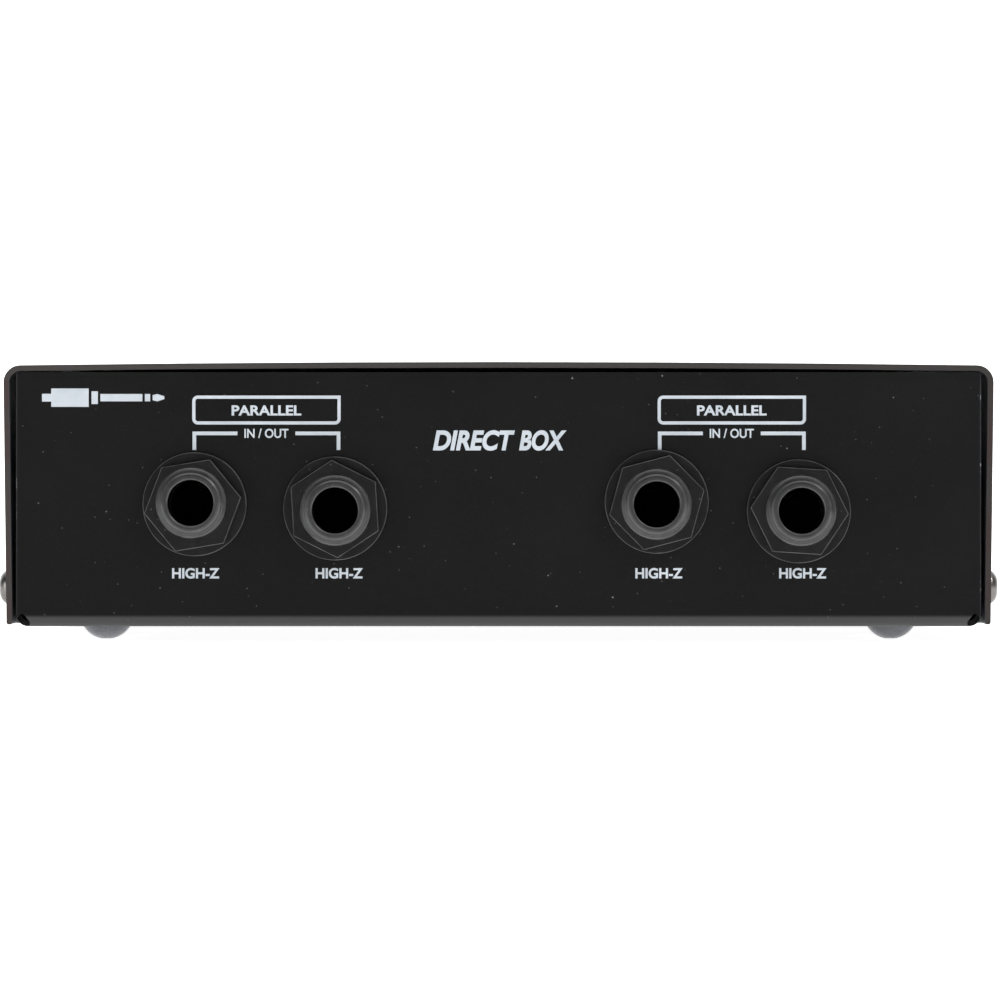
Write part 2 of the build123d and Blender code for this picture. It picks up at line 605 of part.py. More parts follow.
def main_board():
    z0, z1 = TRAY + BOARD_Z, TRAY + BOARD_TOP
    half = BOARD_HALF_WIDTH
    board = slab((-half, FRONT + BOARD_FRONT_GAP, z0), (half, REAR - BOARD_REAR_GAP, z1))
    board = fillet(board.edges().filter_by(Axis.Z), 1.5)
    holes = [(x, y, 1.65) for x, y in standoff_places()]
    for x, _ in JACK_PLACES:
        holes += [(x, FRONT + 15.2, 0.9), (x + 3.9, FRONT + 12.0, 0.9)]
    for side in (-1, 1):
        holes += [(side * SOCKET_X - x, REAR - SOCKET_DEPTH - 0.8, 0.75) for x, _ in pin_places()]
        holes += [(x, y, 0.6) for x, y in transformer_pin_places(side)]
    holes += [(x, y + end * RESISTOR_SPAN / 2, 0.5) for x, y in resistor_places() for end in (-1, 1)]
    holes += [(x + end * CAPACITOR_SPAN / 2, y, 0.5) for x, y in capacitor_places() for end in (-1, 1)]
    for x, y, radius in holes:
        board -= Pos(x, y, z0) * Cylinder(radius, 6)
    return board


def board_standoffs():
    """Round spacers, each clinched into the tray's floor by its stub."""
    for x, y in standoff_places():
        spacer = turned([(1.25, 0), (2.0, 0), (2.0, SHEET), (2.9, SHEET), (2.9, BOARD_Z), (1.25, BOARD_Z)])
        yield Pos(x, y, TRAY) * spacer


def board_screws():
    for x, y in standoff_places():
        yield Pos(x, y, TRAY + BOARD_TOP + TOUCH) * pan_screw(1.22, 5.0, 2.4, 1.8)


def transformer_core(side):
    """Stack of E and I laminations: a block with two windows, its centre leg upright."""
    width, depth, height = CORE
    z0 = TRAY + BOARD_TOP + CORE_LIFT
    x, y = side * TRANSFORMER_X, TRANSFORMER_Y
    core = slab((x - width / 2, y - depth / 2, z0), (x + width / 2, y + depth / 2, z0 + height))
    for way in (-1, 1):
        xs = sorted((x + way * CENTRE_LEG / 2, x + way * (width / 2 - SIDE_LEG)))
        core -= slab((xs[0], y - depth, z0 + YOKE), (xs[1], y + depth, z0 + height - YOKE))
    return core


def transformer_coil_form(side):
    """Bobbin: a tube round the centre leg, two cheeks, and two rails that hold the pins."""
    width, depth, height = CORE
    x, y = side * TRANSFORMER_X, TRANSFORMER_Y
    z0 = TRAY + BOARD_TOP
    low, high = z0 + CORE_LIFT + YOKE + 0.1, z0 + CORE_LIFT + height - YOKE - 0.1
    inner = (CENTRE_LEG / 2 + 0.1, depth / 2 + 0.1)
    window = width / 2 - SIDE_LEG - 0.15
    reach = depth / 2 + 4.4
    form = slab((x - inner[0] - 0.8, y - inner[1] - 0.8, low), (x + inner[0] + 0.8, y + inner[1] + 0.8, high))
    for z in (low, high - 0.9):
        form += slab((x - window, y - reach, z), (x + window, y + reach, z + 0.9))
    for way in (-1, 1):
        ys = sorted((y + way * (depth / 2 + 0.6), y + way * reach))
        form += slab((x - width / 2 + 1, ys[0], z0 + 0.01), (x + width / 2 - 1, ys[1], low + 0.9))
    form -= slab((x - inner[0], y - inner[1], low - 1), (x + inner[0], y + inner[1], high + 1))
    for px, py in transformer_pin_places(side):
        form -= Pos(px, py, z0) * Cylinder(0.4 + SLIP, 6)
    return form


def transformer_winding(side):
    """Wound and taped coil between the bobbin's cheeks."""
    width, depth, height = CORE
    x, y = side * TRANSFORMER_X, TRANSFORMER_Y
    z0 = TRAY + BOARD_TOP + CORE_LIFT
    low, high = z0 + YOKE + 1.05, z0 + height - YOKE - 1.05
    inner = (CENTRE_LEG / 2 + 0.95, depth / 2 + 0.95)
    outer = (width / 2 - SIDE_LEG - 0.6, depth / 2 + 3.9)
    coil = slab((x - outer[0], y - outer[1], low), (x + outer[0], y + outer[1], high))
    coil = fillet(coil.edges().filter_by(Axis.Z), 2.0)
    return coil - slab((x - inner[0], y - inner[1], low - 1), (x + inner[0], y + inner[1], high + 1))


def transformer_pins():
    top, bottom = TRAY + BOARD_TOP + 2.9, TRAY + BOARD_Z - LEG_BELOW_BOARD
    for side in (-1, 1):
        for x, y in transformer_pin_places(side):
            yield rod(0.4, (x, y, bottom), (x, y, top))


def pad_resistors():
    """Axial resistors: waisted body, leads bent down through the board."""
    z = TRAY + BOARD_TOP + 1.5
    low = TRAY + BOARD_Z - LEG_BELOW_BOARD
    body = turned([(0, -3.2), (0.8, -3.2), (1.15, -2.9), (1.15, -1.9), (0.95, -1.5), (0.95, 1.5), (1.15, 1.9),
                   (1.15, 2.9), (0.8, 3.2), (0, 3.2)])
    half = RESISTOR_SPAN / 2
    lead = rod(0.3, (0, -half, 0), (0, half, 0))
    for end in (-1, 1):
        lead += Pos(0, end * half, 0) * Sphere(0.3) + rod(0.3, (0, end * half, 0), (0, end * half, low - z))
    resistor = Plane.XZ * body + lead
    for x, y in resistor_places():
        yield Pos(x, y, z) * resistor


def lift_capacitors():
    """Box film capacitors across the ground lift switches."""
    z0 = TRAY + BOARD_TOP + 0.05
    for x, y in capacitor_places():
        box = slab((x - 3.6, y - 1.75, z0), (x + 3.6, y + 1.75, z0 + 7.5))
        box = fillet(box.edges().filter_by(Axis.Z), 0.4)
        for end in (-1, 1):
            px = x + end * CAPACITOR_SPAN / 2
            box += rod(0.3, (px, y, z0 + 1), (px, y, TRAY + BOARD_Z - LEG_BELOW_BOARD))
        yield box


# ------------------------------------------------------------------ the whole box
def build():
    os.makedirs("parts", exist_ok=True)
    write("chassis_tray", chassis_tray())
    write("top_cover", top_cover())
    write("cover_screws", group(cover_screws()))
    for number, (x, y) in enumerate(foot_places(), 1):
        write(f"foot_{number}", foot(x, y))

    for number, (x, z) in enumerate(JACK_PLACES, 1):
        frame = front_frame(x, z)
        write(f"jack_{number}_housing", jack_housing(frame))
        write(f"jack_{number}_contacts", group(jack_contacts(frame)))
        write(f"jack_{number}_tip_spring", tip_leaf(frame))
        write(f"jack_{number}_washer", jack_washer(frame, WASHER_SHIFTS[number - 1]))
        write(f"jack_{number}_nut", jack_nut(frame, NUT_TURNS[number - 1], NUT_SHIFTS[number - 1]))

    for number, side in enumerate((-1, 1), 1):
        frame = rear_frame(side * SOCKET_X, SOCKET_Z)
        write(f"xlr_{number}_shell", socket_shell(frame))
        write(f"xlr_{number}_insert", socket_insert(frame))
        write(f"xlr_{number}_pins", group(socket_pins(frame)))
        write(f"transformer_{number}_core", transformer_core(side))
        write(f"transformer_{number}_bobbin", transformer_coil_form(side))
        write(f"transformer_{number}_winding", transformer_winding(side))
    write("xlr_screws", group(socket_screws()))
    write("xlr_nuts", group(socket_nuts()))
    write("transformer_pins", group(transformer_pins()))

    names = ("lift_switch_1", "lift_switch_2", "pad_switch_1", "pad_switch_2")
    for name, (x, travel) in zip(names, switch_places()):
        frame = rear_frame(x, SWITCH_Z)
        write(f"{name}_case", switch_case(frame, travel))
        write(f"{name}_slider", switch_slider(frame, travel))
    write("switch_terminals", group(switch_terminals()))
    write("switch_screws", group(switch_screws()))
    write("switch_wires", group(switch_wires()))

    write("main_board", main_board())
    write("board_standoffs", group(board_standoffs()))
    write("board_screws", group(board_screws()))
    write("pad_resistors", group(pad_resistors()))
    write("lift_capacitors", group(lift_capacitors()))


build()
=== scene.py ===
"""Looks of the direct injection box: materials for every part, printed legends, studio and camera.

Lengths below are written in millimetres and turned into metres by MM.
"""
import json
import math

import bmesh
import bpy
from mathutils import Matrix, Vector


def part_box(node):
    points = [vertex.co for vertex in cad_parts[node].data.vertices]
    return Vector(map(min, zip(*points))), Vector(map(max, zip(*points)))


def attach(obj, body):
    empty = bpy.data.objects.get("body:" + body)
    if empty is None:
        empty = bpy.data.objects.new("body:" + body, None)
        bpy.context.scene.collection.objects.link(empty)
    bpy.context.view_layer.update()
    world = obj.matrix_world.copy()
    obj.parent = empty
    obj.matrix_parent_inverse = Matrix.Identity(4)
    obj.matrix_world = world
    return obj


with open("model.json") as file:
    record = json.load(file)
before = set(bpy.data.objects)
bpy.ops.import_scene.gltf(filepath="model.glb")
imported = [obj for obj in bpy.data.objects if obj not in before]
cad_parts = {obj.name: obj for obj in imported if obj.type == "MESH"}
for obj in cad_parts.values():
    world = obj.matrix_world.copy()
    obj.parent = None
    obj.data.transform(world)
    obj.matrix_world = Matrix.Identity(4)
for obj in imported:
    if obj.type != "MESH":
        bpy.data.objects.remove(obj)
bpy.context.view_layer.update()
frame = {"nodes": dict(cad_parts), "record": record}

MM = 0.001
NODES = frame["nodes"]
MOUNTS = {mount["name"]: mount for mount in frame["record"]["mounts"]}

# ------------------------------------------------------------------ places read from the frame
TRAY_LOW, TRAY_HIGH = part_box("chassis_tray")
COVER_LOW, COVER_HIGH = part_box("top_cover")
FRONT = TRAY_LOW.y
REAR = TRAY_HIGH.y
TRAY = TRAY_LOW.z

JACKS = 4

# ------------------------------------------------------------------ sizes, mm
INK = 0.02                       # thickness of the printed ink
VIEW_DISTANCE = 700.0            # camera to front panel
VIEW_WIDTH = 141.5               # width of the frame at the front panel
VIEW_X = 0.2
VIEW_Z = 17.92                   # above the tray's underside
SENSOR = 36.0                    # width of the camera's sensor

# ------------------------------------------------------------------ light
STAGE_GLOW = 0.95                # the floor's own light, so that it stays pale under the box
ROOM_LIGHT = 0.15                # the room's light on the object; where it is seen, it is white

# ------------------------------------------------------------------ colours and ways
FRONTWARDS = (0.0, -1.0, 0.0)
BACKWARDS = (0.0, 1.0, 0.0)
DOWNWARDS = (0.0, 0.0, -1.0)
PAINT_TONE = 0.0032              # base colour of the black paint
# paler grey on the panel's bottom bend: a painted reflection of the pale floor
BEND_PAINTED_REFLECTION = (0.052, 0.052, 0.052, 1.0)
# paler bluish grey along the panel's front and rear rims: a painted highlight
RIM_PAINTED_HIGHLIGHT = (0.05, 0.053, 0.06, 1.0)
BARE_STEEL = (0.5, 0.52, 0.55, 1.0)
# colours of the cover's cut edges: brownish thin paint, and paler than the face as a painted highlight
CUT_EDGE_GREY_AND_SHEEN = (0.05, 0.046, 0.044, 1.0)
CUT_EDGE_BROWN_AND_SHEEN = (0.055, 0.036, 0.034, 1.0)
# pale line where the cover's cut edges meet its inner faces: a painted highlight
INNER_EDGE_HIGHLIGHT = (0.15, 0.14, 0.135, 1.0)
# paler bluish colour on the cover's inner faces: painted light in the gaps between cover and panel
INNER_FACE_PAINTED_LIGHT = (0.055, 0.06, 0.068, 1.0)
FINE_DUST = 0.16                 # base colour of the fine specks
COARSE_DUST = 0.3


# ------------------------------------------------------------------ material helpers
class Nodes:
    """A small builder for one material's node tree."""

    def __init__(self, name, **shader):
        self.material = bpy.data.materials.new(name)
        self.material.use_nodes = True
        self.tree = self.material.node_tree
        self.shader = self.tree.nodes["Principled BSDF"]
        for socket, value in shader.items():
            self.shader.inputs[socket.replace("_", " ")].default_value = value
        coords = self.tree.nodes.new("ShaderNodeTexCoord")
        self.coords = coords.outputs["Object"]
        self.normal = coords.outputs["Normal"]

    def link(self, source, target):
        self.tree.links.new(source, target)

    def noise(self, scale, detail=3.0, roughness=0.5):
        node = self.tree.nodes.new("ShaderNodeTexNoise")
        node.inputs["Scale"].default_value = scale
        node.inputs["Detail"].default_value = detail
        node.inputs["Roughness"].default_value = roughness
        self.link(self.coords, node.inputs["Vector"])
        return node.outputs["Fac"]

    def cells(self, scale, randomness=1.0):
        """Distance to the nearest of many scattered points."""
        node = self.tree.nodes.new("ShaderNodeTexVoronoi")
        node.inputs["Scale"].default_value = scale
        node.inputs["Randomness"].default_value = randomness
        self.link(self.coords, node.inputs["Vector"])
        return node.outputs["Distance"]

    def band(self, value, low, high, to_low=0.0, to_high=1.0):
        """Ramp from to_low, below low, to to_high, above high."""
        node = self.tree.nodes.new("ShaderNodeMapRange")
        node.clamp = True
        for socket, number in zip(("From Min", "From Max", "To Min", "To Max"), (low, high, to_low, to_high)):
            node.inputs[socket].default_value = number
        self.link(value, node.inputs["Value"])
        return node.outputs["Result"]

    def vector(self, operation, first, second):
        """Vector maths: a vector out, or a number from DOT_PRODUCT and LENGTH."""
        node = self.tree.nodes.new("ShaderNodeVectorMath")
        node.operation = operation
        for socket, value in zip(node.inputs, (first, second)):
            if isinstance(value, tuple):
                socket.default_value = value
            else:
                self.link(value, socket)
        return node.outputs["Value" if operation in ("DOT_PRODUCT", "LENGTH") else "Vector"]

    def along(self, way):
        """How far the point lies one way from the frame's origin, in metres."""
        return self.vector("DOT_PRODUCT", self.coords, way)

    def facing(self, way):
        """How far the surface faces one way in the part's own frame: 1 square on, 0 edge on."""
        return self.vector("DOT_PRODUCT", self.normal, way)

    def ridge(self, way):
        """1 on the rounded edges between faces that face that way and the sides around them."""
        turned = self.facing(way)
        return self.math("MULTIPLY", self.band(turned, 0.12, 0.4), self.band(turned, 0.9, 0.985, 1.0, 0.0))

    def radius(self, centre):
        """Distance from an axis along Y through a point."""
        away = self.vector("SUBTRACT", self.coords, tuple(centre))
        return self.vector("LENGTH", self.vector("MULTIPLY", away, (1.0, 0.0, 1.0)), (0.0, 0.0, 0.0))

    def turning(self, radius, scale):
        """Fine circles of a turned or moulded surface, as noise along the radius alone."""
        node = self.tree.nodes.new("ShaderNodeTexNoise")
        node.noise_dimensions = "1D"
        node.inputs["Scale"].default_value = scale
        node.inputs["Detail"].default_value = 3.0
        self.link(radius, node.inputs["W"])
        return node.outputs["Fac"]

    def math(self, operation, first, second):
        node = self.tree.nodes.new("ShaderNodeMath")
        node.operation = operation
        for socket, value in zip(node.inputs, (first, second)):
            if isinstance(value, (int, float)):
                socket.default_value = value
            else:
                self.link(value, socket)
        return node.outputs["Value"]

    def blend(self, factor, first, second):
        """Mix of two colours or colour sockets."""
        node = self.tree.nodes.new("ShaderNodeMix")
        node.data_type = "RGBA"
        sockets = {s.identifier: s for s in node.inputs}
        for key, value in (("Factor_Float", factor), ("A_Color", first), ("B_Color", second)):
            if isinstance(value, (tuple, float)):
                sockets[key].default_value = value
            else:
                self.link(value, sockets[key])
        return {s.identifier: s for s in node.outputs}["Result_Color"]

    def bump(self, height, distance, strength):
        node = self.tree.nodes.new("ShaderNodeBump")
        node.inputs["Strength"].default_value = strength
        node.inputs["Distance"].default_value = distance
        self.link(height, node.inputs["Height"])
        return node.outputs["Normal"]

    def set(self, socket, value):
        self.link(value, self.shader.inputs[socket])


def grey(value):
    return (value, value, value, 1.0)


# ------------------------------------------------------------------ materials
def dust(m, scale, size, share):
    """Scattered specks: the share of the surface where they gather goes from 0 to 1."""
    specks = m.band(m.cells(scale), size * 0.4, size, 1.0, 0.0)
    gate = m.band(m.noise(scale * 0.16, detail=1.0), 0.56 - 0.25 * share, 0.6 - 0.25 * share)
    return m.math("MULTIPLY", specks, gate)


def powder_coat(name, tone, reflecting_bend_way=None):
    """Satin black powder coat: fine grit, slow mottling, dust, and a painted reflection of the pale floor, a
    paler colour on the bends that face one way.
    """
    m = Nodes(name, Roughness=0.45, Specular_IOR_Level=0.15)
    grit = m.noise(2400.0, detail=4.0, roughness=0.7)
    slow = m.noise(55.0, detail=4.0, roughness=0.65)
    base = m.blend(m.band(slow, 0.3, 0.7), grey(tone * 0.7), grey(tone * 1.3))
    base = m.blend(m.band(grit, 0.56, 0.8, 0.0, 0.6), base, grey(tone * 4.0))
    if reflecting_bend_way:
        turned = m.facing(reflecting_bend_way)
        # painted reflection: the bend that faces this way gets a paler colour, as if it mirrored the floor
        bend_painted_reflection = m.math("MULTIPLY", m.band(turned, 0.1, 0.3), m.band(turned, 0.97, 0.995, 1.0, 0.0))
        base = m.blend(bend_painted_reflection, base, BEND_PAINTED_REFLECTION)
    fine = dust(m, 620.0, 0.075, 0.5)
    coarse = dust(m, 330.0, 0.05, 0.3)
    base = m.blend(m.math("MULTIPLY", fine, 0.5), base, grey(FINE_DUST))
    base = m.blend(m.math("MULTIPLY", coarse, 0.8), base, grey(COARSE_DUST))
    m.set("Roughness", m.band(slow, 0.3, 0.7, 0.4, 0.52))
    m.set("Normal", m.bump(grit, 0.04 * MM, 0.5))
    return m, base


def tray_paint():
    """The panel's paint, rubbed through in places along its rims, and paler all along its rims as a painted
    highlight.
    """
    m, base = powder_coat("panel_paint", PAINT_TONE, DOWNWARDS)
    chips = m.band(m.noise(900.0, detail=4.0, roughness=0.7), 0.56, 0.66)
    where = m.band(m.noise(70.0, detail=1.0), 0.48, 0.56)
    off_bend = m.band(m.facing(DOWNWARDS), 0.02, 0.08, 1.0, 0.0)
    for way in (FRONTWARDS, BACKWARDS):
        rim_wear_and_highlight = m.math("MULTIPLY", m.ridge(way), off_bend)
        # painted highlight: paler bluish grey all along the rims; the bare steel chips below are wear
        base = m.blend(m.math("MULTIPLY", rim_wear_and_highlight, 0.8), base, RIM_PAINTED_HIGHLIGHT)
        base = m.blend(m.math("MULTIPLY", rim_wear_and_highlight, m.math("MULTIPLY", chips, where)), base, BARE_STEEL)
    m.set("Base Color", base)
    return m.material


def cover_paint():
    """The cover's paint, thin and brownish on its cut edges and paler there as a painted highlight, with a
    painted highlight round their inner corner, painted shade on the cut edges towards the right, and painted
    light on its inner faces, paler and bluish.
    """
    m, base = powder_coat("cover_paint", PAINT_TONE)
    middle = (COVER_LOW + COVER_HIGH) / 2
    height_weight = 2.6              # so that up and down count beside left and right in a wide, low box
    from_middle = m.vector("SUBTRACT", m.coords, tuple(middle))
    outwards = m.vector("MULTIPLY", from_middle, (1.0, 0.0, height_weight))
    inner = m.band(m.vector("DOT_PRODUCT", m.normal, outwards), -0.03, -0.01, 1.0, 0.0)
    top = m.band(m.along((0.0, 0.0, 1.0)), COVER_HIGH.z - 4 * MM, COVER_HIGH.z - 1.2 * MM)
    patches = m.noise(160.0, detail=3.0)
    # cut edges: brownish thin paint, and paler than the face as a painted highlight
    edge = m.blend(m.band(patches, 0.35, 0.65), CUT_EDGE_BROWN_AND_SHEEN, CUT_EDGE_GREY_AND_SHEEN)
    edge = m.blend(top, edge, CUT_EDGE_GREY_AND_SHEEN)
    # painted shade: the cut edges darken towards the right, where the lamps from the upper right fall on them
    right = m.band(m.along((1.0, 0.0, 0.0)), 0.0, COVER_HIGH.x, 0.0, 0.3)
    edge = m.blend(right, edge, grey(0.01))
    # painted light: the cover's inner faces get a paler bluish colour, so the gaps between cover and panel
    # look lit
    base = m.blend(inner, base, INNER_FACE_PAINTED_LIGHT)
    for way in (FRONTWARDS, BACKWARDS):
        cut = m.band(m.facing(way), 0.1, 0.25)
        base = m.blend(cut, base, edge)
        # painted highlight: a pale line where the cut edges meet the inner faces
        base = m.blend(m.math("MULTIPLY", m.ridge(way), inner), base, INNER_EDGE_HIGHLIGHT)
    m.set("Base Color", base)
    return m.material


def moulded(name, tone, roughness):
    """Moulded plastic: a faint spark-eroded grain and slight unevenness of gloss."""
    m = Nodes(name, Roughness=roughness, Specular_IOR_Level=0.5)
    colour = tone if isinstance(tone, tuple) else grey(tone)
    shade = tuple(c * 0.8 for c in colour[:3]) + (1.0,)
    m.set("Base Color", m.blend(m.band(m.noise(300.0), 0.35, 0.65), shade, colour))
    fine = m.noise(2500.0, detail=3.0)
    scuff = m.noise(120.0, detail=5.0, roughness=0.7)
    m.set("Roughness", m.band(scuff, 0.3, 0.7, roughness * 0.8, roughness * 1.25))
    m.set("Normal", m.bump(fine, 0.02 * MM, 0.25))
    return m.material


def black_nylon(name, centre, tone, edge, roughness, gloss):
    """Black moulded nylon about a jack's axis: fine circles round it, its front edges paler grey in patches,
    partly rubbed and partly a painted highlight, and painted shade, much darker colour, behind the front
    panel.
    """
    m = Nodes(name, Roughness=roughness, Specular_IOR_Level=gloss)
    # painted shade: a mask for all that lies behind the front panel, in the bores
    shade_behind_front = m.band(m.along(BACKWARDS), FRONT + 0.5 * MM, FRONT + 2.0 * MM)
    outside = m.math("SUBTRACT", 1.0, shade_behind_front)
    circles = m.math("MULTIPLY", m.turning(m.radius(centre), 5200.0), outside)
    cloud = m.noise(420.0, detail=4.0, roughness=0.6)
    base = m.blend(m.band(m.math("MULTIPLY", circles, cloud), 0.2, 0.42), grey(tone), grey(tone * 3.0))
    # painted highlight, partly wear: the front-facing rounded edges turn a paler grey in patches
    edge_wear_and_highlight = m.math("MULTIPLY", m.ridge(FRONTWARDS), m.band(cloud, 0.3, 0.55, 0.45, 1.0))
    base = m.blend(edge_wear_and_highlight, base, grey(edge))
    base = m.blend(m.math("MULTIPLY", dust(m, 700.0, 0.08, 0.4), 0.6), base, grey(0.2))
    # painted shade: much darker colour behind the front panel, in the bores
    m.set("Base Color", m.blend(shade_behind_front, base, grey(tone * 0.3)))
    rough = m.band(circles, 0.3, 0.7, roughness * 0.8, roughness * 1.2)
    m.set("Roughness", m.math("MAXIMUM", rough, m.math("MULTIPLY", shade_behind_front, 0.9)))
    m.set("Normal", m.bump(circles, 0.02 * MM, 0.35))
    return m.material


def plated(name, tone, roughness):
    """Plated metal: soft blotches in its colour and gloss."""
    m = Nodes(name, Metallic=1.0, Roughness=roughness)
    cloud = m.noise(500.0, detail=4.0, roughness=0.6)
    dark = tuple(c * 0.82 for c in tone[:3]) + (1.0,)
    m.set("Base Color", m.blend(m.band(cloud, 0.3, 0.7), dark, tone))
    m.set("Roughness", m.band(cloud, 0.3, 0.7, roughness * 0.7, roughness * 1.4))
    m.set("Normal", m.bump(m.noise(2200.0), 0.02 * MM, 0.2))
    return m.material


def printed_ink(name):
    """Screen-printed ink: slightly bluish white, a little uneven where the mesh left its grain."""
    m = Nodes(name, Roughness=0.55, Specular_IOR_Level=0.3)
    grain = m.noise(1800.0, detail=3.0)
    thin = m.noise(260.0, detail=3.0)
    colour = m.blend(m.band(thin, 0.3, 0.75), (0.49, 0.535, 0.58, 1.0), (0.61, 0.655, 0.705, 1.0))
    m.set("Base Color", colour)
    m.set("Normal", m.bump(grain, 0.02 * MM, 0.3))
    return m.material


def soft_foot(name):
    """Smoke-grey polyurethane that lets some light through."""
    m = Nodes(name, Roughness=0.25, Transmission_Weight=0.35, IOR=1.49, Subsurface_Weight=0.2)
    m.shader.inputs["Subsurface Radius"].default_value = (0.002, 0.002, 0.0025)
    haze = m.noise(220.0, detail=3.0)
    m.set("Base Color", m.blend(m.band(haze, 0.3, 0.7), (0.14, 0.145, 0.165, 1.0), (0.24, 0.25, 0.28, 1.0)))
    m.set("Roughness", m.band(m.noise(700.0), 0.3, 0.7, 0.2, 0.38))
    m.set("Normal", m.bump(m.noise(900.0), 0.03 * MM, 0.2))
    return m.material


def solder_mask(name):
    """Green circuit board: glossy mask over a woven glass core."""
    m = Nodes(name, Roughness=0.3, Specular_IOR_Level=0.5)
    weave = m.cells(1200.0, randomness=0.1)
    cloud = m.noise(60.0)
    m.set("Base Color", m.blend(m.band(cloud, 0.3, 0.7), (0.01, 0.09, 0.03, 1.0), (0.02, 0.14, 0.05, 1.0)))
    m.set("Roughness", m.band(cloud, 0.3, 0.7, 0.25, 0.4))
    m.set("Normal", m.bump(weave, 0.03 * MM, 0.3))
    return m.material


def laminations(name):
    """Edges of stacked silicon-steel sheets."""
    m = Nodes(name, Metallic=1.0, Roughness=0.5)
    wave = m.tree.nodes.new("ShaderNodeTexWave")
    wave.bands_direction = "Y"
    wave.inputs["Scale"].default_value = 320.0
    m.link(m.coords, wave.inputs["Vector"])
    lines = wave.outputs["Fac"]
    m.set("Base Color", m.blend(lines, (0.10, 0.10, 0.11, 1.0), (0.34, 0.34, 0.36, 1.0)))
    m.set("Roughness", m.band(m.noise(300.0), 0.3, 0.7, 0.35, 0.6))
    m.set("Normal", m.bump(lines, 0.08 * MM, 0.5))
    return m.material


def paint(names, material):
    """Gives CAD nodes a material, in their own slots."""
    for name in names:
        for slot in NODES[name].material_slots:
            slot.material = material


def every(pattern, count):
    return [pattern.format(n) for n in range(1, count + 1)]


def finish_parts():
    paint(["chassis_tray"], tray_paint())
    paint(["top_cover"], cover_paint())
    paint(["cover_screws", "switch_screws", "xlr_screws"], plated("screw_zinc", (0.2, 0.19, 0.18, 1.0), 0.3))
    paint(every("foot_{}", 4), soft_foot("foot_rubber"))
    for number in range(1, JACKS + 1):
        axis = Vector(MOUNTS[f"jack_{number}"]["pos_m"])
        # the fourth number of each black nylon is the grey of its edges, partly wear and partly painted
        # highlight
        paint([f"jack_{number}_housing"], black_nylon(f"jack_plastic_{number}", axis, 0.007, 0.065, 0.3, 0.6))
        paint([f"jack_{number}_nut"], black_nylon(f"nut_plastic_{number}", axis, 0.0035, 0.095, 0.38, 0.2))
        paint([f"jack_{number}_washer"], black_nylon(f"washer_black_{number}", axis, 0.0035, 0.08, 0.38, 0.2))
    bright = plated("contact_metal", (0.72, 0.68, 0.6, 1.0), 0.25)
    paint(every("jack_{}_contacts", JACKS) + every("jack_{}_tip_spring", JACKS), bright)
    paint(every("xlr_{}_pins", 2) + ["switch_terminals", "transformer_pins"], bright)
    paint(every("xlr_{}_shell", 2), plated("socket_metal", (0.34, 0.34, 0.35, 1.0), 0.4))
    paint(every("xlr_{}_insert", 2), moulded("socket_plastic", 0.012, 0.45))
    zinc = plated("bright_zinc", (0.6, 0.61, 0.63, 1.0), 0.35)
    paint(["xlr_nuts", "board_standoffs", "board_screws"], zinc)
    cases = [f"{kind}_switch_{n}" for kind in ("lift", "pad") for n in (1, 2)]
    paint([f"{case}_case" for case in cases], moulded("switch_moulding", 0.014, 0.5))
    paint([f"{case}_slider" for case in cases], moulded("switch_lever", 0.011, 0.4))
    paint(["main_board"], solder_mask("board_green"))
    paint(every("transformer_{}_core", 2), laminations("core_steel"))
    paint(every("transformer_{}_bobbin", 2), moulded("bobbin_nylon", 0.015, 0.5))
    paint(every("transformer_{}_winding", 2), moulded("coil_tape", (0.7, 0.45, 0.06, 1.0), 0.3))
    paint(["pad_resistors"], moulded("resistor_lacquer", (0.45, 0.3, 0.14, 1.0), 0.3))
    paint(["lift_capacitors"], moulded("capacitor_case", (0.5, 0.06, 0.03, 1.0), 0.3))
    paint(["switch_wires"], moulded("wire_pvc", (0.4, 0.02, 0.02, 1.0), 0.35))


# ------------------------------------------------------------------ printed legends
class Panel:
    """One face to print on: places in mm, across as it is read and up from the tray's underside."""

    def __init__(self, face_y, way):
        self.face_y = face_y
        self.way = way               # 1 on the front, read from -Y; -1 on the rear

    def place(self, x, z):
        return Vector((self.way * x * MM, self.face_y, TRAY + z * MM))


FRONT_FACE = Panel(FRONT, 1)
REAR_FACE = Panel(REAR, -1)
LEGEND_INK = printed_ink("legend")


def ink_piece(name, panel, outlines, faces):
    """A thin slab of ink from flat outlines: points in mm on the panel, faces as lists of their numbers."""
    mesh = bpy.data.meshes.new(name)
    shape = bmesh.new()
    verts = [shape.verts.new(panel.place(x, z)) for x, z in outlines]
    for face in faces:
        shape.faces.new([verts[i] for i in face])
    bmesh.ops.recalc_face_normals(shape, faces=shape.faces)
    out = bmesh.ops.extrude_face_region(shape, geom=list(shape.faces))
    moved = [v for v in out["geom"] if isinstance(v, bmesh.types.BMVert)]
    bmesh.ops.translate(shape, verts=moved, vec=(0, -panel.way * INK * MM, 0))
    bmesh.ops.recalc_face_normals(shape, faces=shape.faces)
    shape.to_mesh(mesh)
    shape.free()
    return ink_object(name, mesh)


def ink_object(name, mesh):
    """An object of ink that rides on the box."""
    mesh.materials.append(LEGEND_INK)
    piece = bpy.data.objects.new(name, mesh)
    bpy.context.scene.collection.objects.link(piece)
    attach(piece, "box")
    return piece


def middle_of(node):
    """A node's middle as read on the rear panel: mm across and up from the tray's underside."""
    low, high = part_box(node)
    middle = (low + high) / 2
    return Vector((REAR_FACE.way * middle.x / MM, 0.0, (middle.z - TRAY) / MM))


def socket_x(number):
    """An output socket's axis as read on the rear panel, mm across."""
    return REAR_FACE.way * MOUNTS[f"xlr_{number}"]["pos_m"][0] / MM


